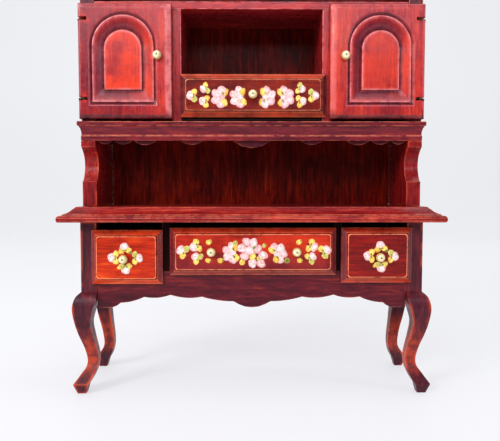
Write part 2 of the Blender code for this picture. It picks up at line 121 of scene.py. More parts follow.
def stretched(tree, grain, along, seed):
    """Object coordinates squeezed along the grain, shifted so that no two boards match."""
    scale = [along if axis == grain else 1.0 for axis in "XYZ"]
    shift = [0.113 * seed + 0.02, 0.071 * seed, 0.057 * seed + 0.01]
    mapping = add(tree, "Mapping", None, Vector=object_place(tree), Scale=scale, Location=shift)
    return mapping.outputs[0]


def emboss(tree, shader, height, strength, depth):
    """Relief on the shader's normal; depth in mm."""
    bump = add(tree, "Bump", None, Height=height, Strength=strength, Distance=depth * MM)
    plug(tree, shader.inputs["Normal"], bump.outputs[0])


def attribute(tree, name):
    return add(tree, "Attribute", {"attribute_name": name}).outputs["Fac"]


def new_material(name):
    """An empty material, with its node tree and its shader."""
    material = bpy.data.materials.new(name)
    material.use_nodes = True
    return material, material.node_tree, material.node_tree.nodes["Principled BSDF"]


# ---------------------------------------------------------------- mesh helpers


def close_loops(bm, loops):
    """Walls between matching loops of points, and a cap on the first and the last loop."""
    count = len(loops[0])
    for lower, upper in zip(loops, loops[1:]):
        for i in range(count):
            j = (i + 1) % count
            bm.faces.new((lower[i], lower[j], upper[j], upper[i]))
    bm.faces.new(list(reversed(loops[0])))
    bm.faces.new(loops[-1])


def smooth_object(name, bm, material):
    """Turn bm into a smooth-shaded object in the scene, and free it."""
    mesh = bpy.data.meshes.new(name)
    bm.to_mesh(mesh)
    bm.free()
    mesh.polygons.foreach_set("use_smooth", [True] * len(mesh.polygons))
    mesh.materials.append(material)
    obj = bpy.data.objects.new(name, mesh)
    bpy.context.scene.collection.objects.link(obj)
    return obj


# ---------------------------------------------------------------- materials

# Display colours from the darkest stain to the wood that shows through thin lacquer.
PALETTES = {
    "case": [(44, 6, 20), (80, 12, 30), (104, 22, 38), (150, 50, 40)],
    "table": [(84, 10, 20), (128, 22, 28), (156, 36, 36), (204, 80, 56)],
    "leg": [(38, 12, 26), (72, 20, 36), (98, 30, 44), (146, 54, 46)],
    "dark": [(52, 3, 4), (96, 12, 4), (130, 28, 8), (170, 56, 16)],
    "door": [(104, 18, 34), (156, 38, 48), (194, 54, 50), (226, 86, 50)],
    "shelf": [(66, 14, 28), (110, 28, 42), (138, 40, 50), (184, 74, 56)],
    # Near-black wood for the dividers: painted shade in the dark gaps between the drawers.
    "shade": [(14, 2, 4), (26, 4, 6), (36, 6, 8), (60, 14, 12)],
    "orange": [(96, 12, 2), (160, 30, 2), (200, 54, 4), (238, 108, 28)],
    "red": [(84, 4, 6), (134, 14, 6), (166, 24, 8), (198, 52, 18)],
    "wine": [(76, 4, 10), (116, 10, 14), (146, 18, 16), (180, 40, 24)],
    "deep": [(64, 4, 4), (98, 14, 6), (122, 26, 10), (156, 48, 18)],
    "bare": [(120, 62, 40), (156, 94, 60), (178, 120, 78), (196, 144, 98)],
}
# palette: specular level, coat weight, and how strongly an edge strip is rubbed and given its
# painted highlight
FINISH = {
    "case": (0.32, 0.14, 0.45), "table": (0.30, 0.14, 0.42), "shelf": (0.32, 0.14, 0.5),
    "shade": (0.08, 0.02, 0.2), "leg": (0.36, 0.10, 0.30), "dark": (0.10, 0.03, 0.3),
    "door": (0.34, 0.20, 0.85), "orange": (0.26, 0.16, 1.0), "red": (0.30, 0.18, 1.0),
    "wine": (0.30, 0.18, 1.0), "deep": (0.30, 0.18, 1.0), "bare": (0.20, 0.0, 0.3),
}
WEAR_AND_HIGHLIGHT = srgb(250, 150, 108)  # lacquer gone from an edge, with a painted highlight along it
# Pinker rubbed lacquer with a painted highlight, for the door edges.
DOOR_WEAR_AND_HIGHLIGHT = srgb(240, 146, 146)
RUBBED_AND_HIGHLIGHT = srgb(214, 84, 46)  # lacquer rubbed thin, with a painted highlight
DARK_STAIN_AND_SHADE = srgb(34, 5, 14)  # dark stain lying in a groove or a pore, also painted shade in gaps and on faces turned down
PURPLE_SHADE = srgb(92, 26, 48)  # painted purple shade, on slopes and edges that face away from the light
ORANGE_AND_LIGHT = srgb(238, 72, 32)  # orange wood under thin lacquer, also painted light on lit slopes and borders
SPILT_STAIN_AND_SHADE = srgb(38, 6, 8)  # case stain that has run onto a bare board, with painted shade in the gap under a drawer front

# Roughness where a surface is polished, and where it is dull.
LACQUER_GLOSS = (0.22, 0.40)
LEG_GLOSS = (0.34, 0.52)
BARE_GLOSS = (0.5, 0.75)
DRAWER_GLOSS = (0.16, 0.32)
DOOR_GLOSS = (0.18, 0.36)
COAT_ROUGHNESS = 0.14

SPILL_AND_SHADE_WOBBLE = 1.5 * MM  # how unevenly the darkened front edge, spilt stain with painted shade, runs
SPILL_AND_SHADE_FADE = 1.2 * MM
# A leg's ankle is painted lighter orange, rubbed lacquer with a painted highlight: it comes in over
# the first span of heights and goes out over the second.
ANKLE_IN = (5.0 * MM, 11.0 * MM)
ANKLE_OUT = (16.0 * MM, 26.0 * MM)


def grain_colour(tree, palette, grain, seed):
    """Stain colour with streaks, figure, blotches and pores; also gives the relief masks."""
    fine = stretched(tree, grain, 0.06, seed)
    wide = stretched(tree, grain, 0.24, seed + 3)
    streaks = noise(tree, fine, 1500.0, 5.0, 0.62, 0.5)
    figure = noise(tree, wide, 270.0, 3.0, 0.5, 1.6)
    blotch = noise(tree, wide, 52.0, 2.0, 0.5, 0.4)
    pores = noise(tree, fine, 5200.0, 2.0, 0.5)
    tone = maths(tree, "ADD", maths(tree, "MULTIPLY", streaks, 0.40),
                 maths(tree, "MULTIPLY", figure, 0.28))
    tone = maths(tree, "ADD", tone, maths(tree, "MULTIPLY", blotch, 0.32))
    ramp = add(tree, "ValToRGB", None, Fac=tone)
    darkest, dark, light, lightest = (srgb(*colour) for colour in PALETTES[palette])
    stops = ramp.color_ramp.elements
    stops[0].position, stops[1].position = 0.36, 0.66
    stops[0].color, stops[1].color = darkest, lightest
    stops.new(0.465).color = dark
    stops.new(0.55).color = light
    pore_mask = spread(tree, pores, 0.56, 0.70)
    colour = blend_colour(tree, maths(tree, "MULTIPLY", pore_mask, 0.34), ramp.outputs[0], DARK_STAIN_AND_SHADE)
    return colour, streaks, pore_mask


def rubbed_and_highlight_mask(tree, radius, vector):
    """1 where the lacquer has rubbed thin and a highlight is painted: within radius of an edge, in
    broad patches.
    """
    rounded = add(tree, "Bevel", {"samples": 6}, Radius=radius * MM).outputs[0]
    meet = add(tree, "VectorMath", {"operation": "DOT_PRODUCT"})
    plug(tree, meet.inputs[0], rounded)
    plug(tree, meet.inputs[1], add(tree, "NewGeometry").outputs["Normal"])
    near = spread(tree, meet.outputs["Value"], 0.995, 0.84)
    zones = noise(tree, vector, 88.0, 2.0, 0.5)
    return maths(tree, "MULTIPLY", near, spread(tree, zones, 0.46, 0.58))


def wood(name, palette, grain, seed, wear_and_highlight="", gloss=LACQUER_GLOSS, soft_wear_and_highlight=0.0, stained_to=None,
         dusk=None):
    """Lacquered wood.

    wear is "edge" for a strip of rubbed lacquer and painted highlight along an edge, or "points"
    where the mesh carries its own amounts for POINT_LAYERS: rubbing with painted highlight, dark
    staining with painted shade, painted purple shade, and orange tone with painted light.
    stained_to is the depth that the darkened front edge of a bare board reaches: case staining run
    onto it, with painted shade in the gap under the drawer front.
    dusk is two heights: the wood has painted purple shade at the first and none at the second.
    """
    material, tree, shader = new_material(name)
    free = stretched(tree, grain, 1.0, seed + 5)
    colour, streaks, pore_mask = grain_colour(tree, palette, grain, seed)
    patches = noise(tree, free, 330.0, 4.0, 0.6)
    specular, coat, edge_wear_and_highlight = FINISH[palette]
    # A bare board's front edge darkened: spilt case stain, with painted shade in the gap under the
    # drawer front.
    if stained_to is not None:
        run = maths(tree, "ADD", object_place(tree, "Y"),
                    maths(tree, "MULTIPLY", patches, SPILL_AND_SHADE_WOBBLE))
        spilt_and_shade = spread(tree, run, stained_to, stained_to + SPILL_AND_SHADE_FADE, 1.0, 0.0)
        colour = blend_colour(tree, spilt_and_shade, colour, SPILT_STAIN_AND_SHADE)
    # Painted purple shade, then the orange of the wood with painted light, by the amounts on the
    # points.
    if wear_and_highlight == "points":
        colour = blend_colour(tree, attribute(tree, "purple_shade"), colour, PURPLE_SHADE)
        orange_and_light_share = maths(tree, "MULTIPLY", attribute(tree, "orange_and_light"),
                     spread(tree, noise(tree, free, 120.0, 3.0), 0.36, 0.60, 0.25, 1.0))
        colour = blend_colour(tree, maths(tree, "MULTIPLY", orange_and_light_share, 0.75), colour, ORANGE_AND_LIGHT)
    # Painted purple shade towards the first of the two heights.
    if dusk:
        purple = spread(tree, object_place(tree, "Z"), *dusk, 0.60, 0.0)
        colour = blend_colour(tree, purple, colour, PURPLE_SHADE)
    # Dark stain in grooves, and painted shade in gaps, on faces turned down and under overhangs.
    if wear_and_highlight == "points":
        stain_and_shade_share = maths(tree, "MULTIPLY", attribute(tree, "stain_and_shade"),
                     spread(tree, patches, 0.30, 0.62, 1.0, 0.55))
        colour = blend_colour(tree, stain_and_shade_share, colour, DARK_STAIN_AND_SHADE)
    # A leg's ankle: rubbed lacquer with a painted highlight.
    if palette == "leg":
        height = object_place(tree, "Z")
        ankle = maths(tree, "MULTIPLY", spread(tree, height, *ANKLE_IN),
                      spread(tree, height, *ANKLE_OUT, 1.0, 0.0))
        ankle = maths(tree, "MULTIPLY", ankle, spread(tree, patches, 0.36, 0.62, 0.15, 0.62))
        colour = blend_colour(tree, ankle, colour, RUBBED_AND_HIGHLIGHT)
    # Rubbed lacquer with a painted highlight near the edges.
    if soft_wear_and_highlight:
        colour = blend_colour(tree, rubbed_and_highlight_mask(tree, soft_wear_and_highlight, free), colour, RUBBED_AND_HIGHLIGHT)
    # Edge strips and bright lines: rubbed lacquer with a painted highlight.
    wear_and_highlight_tint = DOOR_WEAR_AND_HIGHLIGHT if palette == "door" else WEAR_AND_HIGHLIGHT
    if wear_and_highlight == "edge":
        worn_and_lit = spread(tree, patches, 0.38, 0.60, 0.10 * edge_wear_and_highlight, 0.95 * edge_wear_and_highlight)
        colour = blend_colour(tree, worn_and_lit, colour, wear_and_highlight_tint)
    if wear_and_highlight == "points":
        worn_and_lit = maths(tree, "MULTIPLY", attribute(tree, "wear_and_highlight"),
                     spread(tree, patches, 0.32, 0.56, 0.35, 1.0))
        colour = blend_colour(tree, worn_and_lit, colour, wear_and_highlight_tint)
    plug(tree, shader.inputs["Base Color"], colour)
    dull = noise(tree, free, 520.0, 4.0, 0.6)
    plug(tree, shader.inputs["Roughness"], spread(tree, dull, 0.34, 0.66, *gloss, smooth=False))
    shader.inputs["Specular IOR Level"].default_value = specular
    shader.inputs["Coat Weight"].default_value = coat
    shader.inputs["Coat Roughness"].default_value = COAT_ROUGHNESS
    relief = maths(tree, "ADD", maths(tree, "MULTIPLY", streaks, 0.5),
                   maths(tree, "MULTIPLY", dull, 0.9))
    relief = maths(tree, "SUBTRACT", relief, maths(tree, "MULTIPLY", pore_mask, 0.35))
    emboss(tree, shader, relief, 0.35, 0.12)
    return material


def metal(name):
    """Dull brass with darker clouds."""
    material, tree, shader = new_material(name)
    cloud = noise(tree, object_place(tree), 900.0, 4.0, 0.6)
    tarnish = spread(tree, cloud, 0.35, 0.65)
    plug(tree, shader.inputs["Base Color"],
         blend_colour(tree, tarnish, srgb(30, 20, 16), srgb(112, 82, 48)))
    plug(tree, shader.inputs["Roughness"], spread(tree, cloud, 0.3, 0.7, 0.52, 0.28))
    shader.inputs["Metallic"].default_value = 1.0
    emboss(tree, shader, cloud, 0.25, 0.03)
    return material


# Distances from the middle between which the dot and the ring round it fade out, and the darker
# rim comes in.
DOT_EDGE = (0.34 * MM, 0.52 * MM)
HALO = (0.5 * MM, 0.8 * MM)
RIM = (1.15 * MM, 1.75 * MM)


def bead_paint():
    """Cream enamel with a dark dot in the middle of the face and a thin ring round it."""
    material, tree, shader = new_material("cream_enamel")
    place = object_place(tree)
    flat = add(tree, "Mapping", None, Vector=place, Scale=(1.0, 1.0, 0.0)).outputs[0]
    span = add(tree, "VectorMath", {"operation": "LENGTH"})
    plug(tree, span.inputs[0], flat)
    wobble = noise(tree, place, 900.0, 3.0)
    reach = maths(tree, "ADD", span.outputs["Value"], maths(tree, "MULTIPLY", wobble, 0.25 * MM))
    shade = spread(tree, wobble, 0.35, 0.65)
    enamel = blend_colour(tree, shade, srgb(250, 240, 205), srgb(232, 214, 160))
    enamel = blend_colour(tree, spread(tree, reach, *RIM), enamel, srgb(206, 180, 122))
    halo = spread(tree, reach, *HALO, 0.35, 0.0)
    enamel = blend_colour(tree, halo, enamel, srgb(190, 196, 120))
    dot = spread(tree, reach, *DOT_EDGE, 1.0, 0.0)
    plug(tree, shader.inputs["Base Color"], blend_colour(tree, dot, enamel, srgb(92, 104, 84)))
    plug(tree, shader.inputs["Roughness"], spread(tree, wobble, 0.3, 0.7, 0.18, 0.34))
    shader.inputs["Coat Weight"].default_value = 0.3
    shader.inputs["Coat Roughness"].default_value = 0.1
    emboss(tree, shader, wobble, 0.2, 0.05)
    return material


def blossom_paint():
    """Thick hand-laid paint: each dab carries its own colour, with brush marks over it."""
    material, tree, shader = new_material("blossom_paint")
    dabs = add(tree, "Attribute", {"attribute_name": "dab"}).outputs["Color"]
    marks = noise(tree, object_place(tree), 1300.0, 4.0, 0.6, 0.6)
    deep = blend_colour(tree, 1.0, dabs, srgb(236, 188, 178), "MULTIPLY")
    colour = blend_colour(tree, spread(tree, marks, 0.42, 0.66), dabs, deep)
    plug(tree, shader.inputs["Base Color"], colour)
    plug(tree, shader.inputs["Roughness"], spread(tree, marks, 0.3, 0.7, 0.30, 0.52))
    shader.inputs["Coat Weight"].default_value = 0.2
    shader.inputs["Coat Roughness"].default_value = 0.2
    emboss(tree, shader, marks, 0.5, 0.08)
    return material


# The paper gives off a little light of its own, and less of it far in front of the object.
PAPER_GLOW = 0.50
PAPER_TINT = (0.97, 0.975, 1.0)
FAR_FRONT = (-0.60, -0.25)
FAR_FRONT_GLOW = 0.78


def backdrop_paper():
    """Pale studio paper for the floor and the backdrop."""
    material, tree, shader = new_material("paper")
    cloud = noise(tree, object_place(tree), 3.0, 2.0)
    paper = blend_colour(tree, cloud, srgb(151, 152, 154), srgb(155, 156, 158))
    lit = spread(tree, object_place(tree, "Y"), *FAR_FRONT, FAR_FRONT_GLOW, 1.0)
    plug(tree, shader.inputs["Base Color"], blend_colour(tree, lit, srgb(60, 60, 66), paper))
    orange_and_light = add(tree, "VectorMath", {"operation": "SCALE"}, Scale=lit)
    orange_and_light.inputs[0].default_value = PAPER_TINT
    plug(tree, shader.inputs["Emission Color"], orange_and_light.outputs["Vector"])
    shader.inputs["Roughness"].default_value = 0.6
    shader.inputs["Specular IOR Level"].default_value = 0.2
    shader.inputs["Emission Strength"].default_value = PAPER_GLOW
    return material


# ---------------------------------------------------------------- carried CAD boards

# node: (palette, grain axis, edge rounding in mm, how far the rubbed lacquer and its painted
# highlight reach in from the edge in mm)
BOARDS = {
    "leg_front_left": ("leg", "Z", 0.40, 2.0), "leg_front_right": ("leg", "Z", 0.40, 2.0),
    "leg_rear_left": ("leg", "Z", 0.40, 2.0), "leg_rear_right": ("leg", "Z", 0.40, 2.0),
    "chest_side_left": ("case", "Y", 0.2, 0), "chest_side_right": ("case", "Y", 0.2, 0),
    "divider_left": ("shade", "Z", 0.15, 0), "divider_right": ("shade", "Z", 0.15, 0),
    "apron": ("case", "X", 0.25, 0), "drawer_floor": ("dark", "X", 0.1, 0),
    "chest_top": ("table", "X", 0.16, 0), "shelf_board": ("shelf", "X", 0.2, 0),
    "niche_side_left": ("table", "Z", 0.12, 1.4), "niche_side_right": ("table", "Z", 0.12, 1.4),
    "cabinet_side_left": ("case", "Z", 0.3, 1.2), "cabinet_side_right": ("case", "Z", 0.3, 1.2),
    "partition_left": ("door", "Z", 0.25, 0), "partition_right": ("door", "Z", 0.25, 0),
    "bay_floor": ("case", "X", 0.2, 0), "cabinet_top": ("door", "X", 0.25, 0),
    "valance": ("case", "X", 0.18, 0), "back_panel": ("dark", "Z", 0.02, 0),
    "cornice": ("case", "X", 0.2, 0),
}
HINGE_ROUNDING = 0.05  # mm
BOX_ROUNDING = 0.12  # mm
STAIN_AND_SHADE_REACH = 3.0 * MM  # how far behind its front a drawer box is darkened, by stain and painted shade
FIRST_BOX_SEED = 40

WELD_REACH = 0.002 * MM
FLAT_WITHIN = math.radians(0.6)
ROUND_ABOVE = math.radians(24)
SHARP_ABOVE = math.radians(50)


def round_edges(obj, width, segments=2, strip=None):
    """Weld the imported triangles into whole faces, then round what meets at an angle.

    width is in mm. strip is the material slot of the rounded edges.
    """
    mesh = obj.data
    if "custom_normal" in mesh.attributes:
        mesh.attributes.remove(mesh.attributes["custom_normal"])
    mesh.polygons.foreach_set("use_smooth", [True] * len(mesh.polygons))
    weld = obj.modifiers.new("weld", "WELD")
    weld.merge_threshold = WELD_REACH
    whole = obj.modifiers.new("whole_faces", "DECIMATE")
    whole.decimate_type = "DISSOLVE"
    whole.angle_limit = FLAT_WITHIN
    bevel = obj.modifiers.new("rounding", "BEVEL")
    bevel.width = width * MM
    bevel.segments = segments
    bevel.limit_method = "ANGLE"
    bevel.angle_limit = ROUND_ABOVE
    bevel.use_clamp_overlap = True
    if strip is not None:
        bevel.material = strip
    even_normals(obj, keep_sharp=False)


def even_normals(obj, keep_sharp=True):
    """Flat faces shade flat and only their rounded borders turn."""
    if keep_sharp:
        obj.data.set_sharp_from_angle(angle=SHARP_ABOVE)
    even = obj.modifiers.new("even_normals", "WEIGHTED_NORMAL")
    even.weight = 50
    even.keep_sharp = keep_sharp


def dress_boards():
    """Wood on the boards that stay as the CAD has them, with a strip of rubbed lacquer and painted
    highlight along their edges.
    """
    for index, (name, (palette, grain, width, rub_and_highlight)) in enumerate(sorted(BOARDS.items())):
        materials = NODES[name].data.materials
        materials.clear()
        gloss = LEG_GLOSS if palette == "leg" else LACQUER_GLOSS
        materials.append(wood("wood_" + name, palette, grain, index, gloss=gloss, soft_wear_and_highlight=rub_and_highlight))
        strip = None
        if palette != "dark":
            materials.append(wood("edge_" + name, palette, grain, index, wear_and_highlight="edge"))
            strip = 1
        round_edges(NODES[name], width, strip=strip)


def dress_boxes():
    """Drawer boxes in bare wood, hinge leaves in dull brass."""
    brass = metal("dull_brass")
    for index, name in enumerate(sorted(NODES)):
        materials = NODES[name].data.materials
        if name.startswith("hinge_"):
            materials.clear()
            materials.append(brass)
            round_edges(NODES[name], HINGE_ROUNDING, segments=1)
        elif name.startswith("drawer_") and name not in BOARDS and not name.endswith("_front"):
            grain = "Y" if "_side_" in name else "X"
            # Their front edges are darkened: spilt stain with painted shade.
            front_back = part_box("_".join(name.split("_")[:2]) + "_front")[1].y
            materials.clear()
            materials.append(wood("wood_" + name, "bare", grain, FIRST_BOX_SEED + index,
                                  gloss=BARE_GLOSS, stained_to=front_back + STAIN_AND_SHADE_REACH))
            round_edges(NODES[name], BOX_ROUNDING)


# ---------------------------------------------------------------- drawer fronts

# Amounts on each point: rubbing with painted highlight, dark staining with painted shade, painted
# purple shade, and orange tone with painted light.
POINT_LAYERS = ("wear_and_highlight", "stain_and_shade", "purple_shade", "orange_and_light")
CORNER_STEPS = 5
SIDE_STEPS = 8


def ring_stack(name, rings, material):
    """A closed solid through matching rings of points.

    Each ring has its amounts for POINT_LAYERS: a number, or a function of the point's place.
    """
    bm = bmesh.new()
    layers = [bm.verts.layers.float.new(layer) for layer in POINT_LAYERS]
    loops = []
    for points, *amounts in rings:
        loop = []
        for point in points:
            vert = bm.verts.new(point)
            for layer, amount in zip(layers, amounts):
                vert[layer] = amount(vert.co) if callable(amount) else amount
            loop.append(vert)
        loops.append(loop)
    close_loops(bm, loops)
    bmesh.ops.recalc_face_normals(bm, faces=bm.faces)
    return smooth_object(name, bm, material)


def rounded_ring(x_low, x_high, z_low, z_high, radius, y):
    """Points round a rectangle with rounded corners, in the plane at y."""
    corners = [(x_high - radius, z_low + radius, -90), (x_high - radius, z_high - radius, 0),
               (x_low + radius, z_high - radius, 90), (x_low + radius, z_low + radius, 180)]
    arcs = []
    for middle_x, middle_z, start in corners:
        angles = [math.radians(start + 90 * step / CORNER_STEPS)
                  for step in range(CORNER_STEPS + 1)]
        arcs.append([(middle_x + radius * math.cos(angle), middle_z + radius * math.sin(angle))
                     for angle in angles])
    points = []
    for arc, following in zip(arcs, arcs[1:] + arcs[:1]):
        points += arc
        (x0, z0), (x1, z1) = arc[-1], following[0]
        for step in range(1, SIDE_STEPS):
            share = step / SIDE_STEPS
            points.append((x0 + (x1 - x0) * share, z0 + (z1 - z0) * share))
    return [Vector((x, y, z)) for x, z in points]


# Drawer front, from the back edge to the field: inset in mm, share of the thickness, corner
# radius in mm, then the amounts for POINT_LAYERS. The dark outer edge and quirk are staining with
# painted shade; the bright lines on the border and round the field are rubbing with painted
# highlight.
FRONT_RINGS = [
    (0.05, 0.00, 0.05, 0.0, 0.9, 0.0, 0.0), (0.00, 0.02, 0.08, 0.0, 0.9, 0.0, 0.0),
    (0.00, 0.14, 0.10, 0.0, 0.6, 0.6, 0.0), (0.03, 0.20, 0.14, 0.3, 0.1, 0.7, 0.0),
    (0.18, 0.27, 0.20, 0.45, 0.0, 0.7, 0.0), (0.50, 0.35, 0.24, 0.15, 0.0, 0.8, 0.0),
    (0.95, 0.46, 0.28, 0.1, 0.0, 0.8, 0.0), (1.40, 0.60, 0.32, 0.15, 0.0, 0.7, 0.1),
    (1.75, 0.72, 0.36, 0.3, 0.0, 0.5, 0.2), (1.92, 0.78, 0.40, 0.45, 0.0, 0.3, 0.0),
    (2.02, 0.78, 0.50, 0.0, 0.6, 0.0, 0.0), (2.14, 0.77, 0.60, 0.0, 1.0, 0.0, 0.0),
    (2.20, 0.82, 0.70, 0.0, 0.8, 0.0, 0.0), (2.26, 0.95, 0.80, 0.6, 0.0, 0.0, 0.0),
    (2.35, 0.99, 0.90, 1.0, 0.0, 0.0, 0.0), (2.52, 1.00, 1.00, 0.9, 0.0, 0.0, 0.2),
    (2.66, 0.998, 1.10, 0.0, 0.0, 0.0, 0.5), (3.30, 0.99, 1.30, 0.0, 0.0, 0.0, 0.9),
    (4.80, 0.99, 1.60, 0.0, 0.0, 0.0, 1.0),
]
BORDER = (0.02, 1.95)  # insets in mm between which a ring is on the sloping border
TOP_BAND = 1.2 * MM  # width of the painted shadow along the top border, under the overhang above
FIELD_SUNK = 0.01  # how far the field lies below the bead round it, as a share of the thickness
# drawer: palette, share of the orange in its field, the wood's tone with painted light
FIELDS = {
    "left": ("orange", 0.3), "wide": ("red", 0.7), "right": ("wine", 0.05), "upper": ("deep", 0.1),
}
# The wide field has painted purple shade at its foot; heights above the front's lower edge.
DUSK_FROM, DUSK_TO = 2.5 * MM, 11.0 * MM


def end_on(co, low, high):
    """True for a point on the border at a drawer front's left or right end."""
    return min(co.x - low.x, high.x - co.x) < min(co.z - low.z, high.z - co.z)


def drawer_front(word, seed):
    """Raised panel with a sloping border and a quirk round the painted field.

    Returns the depth of the field's face.
    """
    node = "drawer_" + word + "_front"
    low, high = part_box(node)
    thick = high.y - low.y
    palette, warmth = FIELDS[word]
    rings = []
    for inset, share, corner, worn_and_lit, stain_shade, purple_shade, orange_and_light in FRONT_RINGS:
        on_border = BORDER[0] < inset < BORDER[1]

        def wear_and_highlight_at(co, most=worn_and_lit, border=on_border):
            """The ends are rubbed less than the long borders, and get less painted highlight."""
            if word == "upper" and not border:
                return most * 0.6
            return most * 0.45 if border and end_on(co, low, high) else most

        def purple_shade_at(co, most=purple_shade):
            """Painted purple shade on the two ends, which face sideways out of the light; little on
            the long borders.
            """
            return most * (1.0 if end_on(co, low, high) else 0.05)

        def orange_and_light_at(co, most=orange_and_light * warmth, border=on_border):
            """Painted light: brighter orange along the long borders, which catch the light."""
            return 0.55 if border and not end_on(co, low, high) else most

        def stain_and_shade_at(co, most=stain_shade, border=on_border, inward=inset):
            """Painted shadow: the top border darkens towards its outer edge, under the overhang
            above, except on the upper drawer.
            """
            shaded = border and co.z > high.z - TOP_BAND and not end_on(co, low, high)
            return max(most, 0.7 - inward * 0.6) if shaded and word != "upper" else most

        edge = inset * MM
        ring = rounded_ring(low.x + edge, high.x - edge, low.z + edge, high.z - edge,
                            corner * MM, high.y - thick * share)
        rings.append((ring, wear_and_highlight_at, stain_and_shade_at, purple_shade_at, orange_and_light_at))
    dusk = (low.z + DUSK_FROM, low.z + DUSK_TO) if word == "wide" else None
    look = wood("wood_front_" + word, palette, "X", seed, wear_and_highlight="points", gloss=DRAWER_GLOSS,
                dusk=dusk)
    obj = ring_stack("front_" + word, rings, look)
    even_normals(obj)
    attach(obj, "drawer_" + word)
    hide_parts(node)
    return low.y + thick * FIELD_SUNK


# ---------------------------------------------------------------- doors

ARCH_MIDDLE = 47.5 * MM
# Half width of the arch, its height above the door's foot and its depth below the head, in mm.
ARCH_OUTER = (11.55, 5.8, 3.9)
ARCH_INNER = (6.55, 10.9, 10.1)
ARC_STEPS = 40
WALL_STEPS = 10
SILL_STEPS = 10

# How far the eased edge reaches onto the face at the knob, at the hinges, and at the two ends.
KNOB_SIDE, HINGE_SIDE, ENDS = 2.5 * MM, 0.9 * MM, 1.7 * MM
# The slope grows to its full depth over EASE_SPAN, from EASE_START off the hinges and the top.
EASE_START, EASE_SPAN = 1.2 * MM, 3.0 * MM
# Widths of the bands on the face with their own rubbing, painted highlight and painted shade.
KNOB_BAND, FOOT_BAND, FOOT_PURPLE = 3.0 * MM, 2.0 * MM, 4.0 * MM
BACK = 3.0  # rings deeper than this, in mm, lie on the back of the door
MOULDING = 0.85  # shares of the way in up to this are the arch's moulding, the rest its panel
# door: side, painted purple shade at its left end, rubbing and painted highlight on the knob side,
# orange of the arched panel
DOORS = {"left": (-1, 0.75, 2.2, 1.0), "right": (1, 0.20, 1.0, 0.62)}

KERF_WIDE, KERF_DEEP, KERF_TALL = 6.6 * MM, 12.0 * MM, 1.25 * MM


def arch_ring(middle, half, z_low, z_high, y, angles):
    """Sill, right wall, round head, left wall; the head's points lie at the given angles."""
    spring = z_high - half
    points = []
    for step in range(SILL_STEPS):
        points.append((middle - half + 2 * half * step / SILL_STEPS, z_low))
    for step in range(WALL_STEPS):
        points.append((middle + half, z_low + (spring - z_low) * step / WALL_STEPS))
    for angle in angles:
        points.append((middle + half * math.cos(angle), spring + half * math.sin(angle)))
    for step in range(1, WALL_STEPS):
        points.append((middle - half, spring + (z_low - spring) * step / WALL_STEPS))
    return [Vector((x, y, z)) for x, z in points]


def slab_ring(x_low, x_high, z_low, z_high, middle, spring, depth_of):
    """The door's rectangle, its points facing those of an arch ring, each at its own depth."""
    corner_right = math.atan2(z_high - spring, x_high - middle)
    corner_left = math.atan2(z_high - spring, x_low - middle)
    quarter = ARC_STEPS // 4
    angles = [corner_right * step / quarter for step in range(quarter)]
    span = corner_left - corner_right
    angles += [corner_right + span * step / (2 * quarter) for step in range(2 * quarter)]
    rest = math.pi - corner_left
    angles += [corner_left + rest * step / quarter for step in range(quarter + 1)]
    points = []
    for step in range(SILL_STEPS):
        points.append((x_low + (x_high - x_low) * step / SILL_STEPS, z_low))
    for step in range(WALL_STEPS):
        points.append((x_high, z_low + (spring - z_low) * step / WALL_STEPS))
    for angle in angles:
        across, up = math.cos(angle), math.sin(angle)
        reach = 1e9
        if across > 1e-6:
            reach = min(reach, (x_high - middle) / across)
        if across < -1e-6:
            reach = min(reach, (x_low - middle) / across)
        if up > 1e-6:
            reach = min(reach, (z_high - spring) / up)
        points.append((middle + reach * across, spring + reach * up))
    for step in range(1, WALL_STEPS):
        points.append((x_low, spring + (z_low - spring) * step / WALL_STEPS))
    return [Vector((x, depth_of(x, z), z)) for x, z in points], angles


# Door edge, from the back: share of the way in, depth below the face in mm, then the amounts
# for POINT_LAYERS. Its dark sides are staining with painted shade, its bright line rubbing with
# painted highlight.
DOOR_EDGE = [
    (0.00, 3.20, 0.0, 0.25, 0.0, 0.0), (0.00, 1.75, 0.0, 0.8, 0.3, 0.0),
    (0.03, 1.40, 0.1, 0.4, 0.6, 0.0), (0.11, 1.02, 0.3, 0.1, 0.6, 0.0),
    (0.26, 0.66, 0.4, 0.0, 0.4, 0.0), (0.46, 0.37, 0.35, 0.0, 0.2, 0.0),
    (0.70, 0.15, 0.35, 0.0, 0.0, 0.0), (0.90, 0.03, 0.25, 0.0, 0.0, 0.1),
    (1.00, 0.00, 0.10, 0.0, 0.0, 0.2), (1.16, 0.00, 0.0, 0.0, 0.0, 0.3),
]
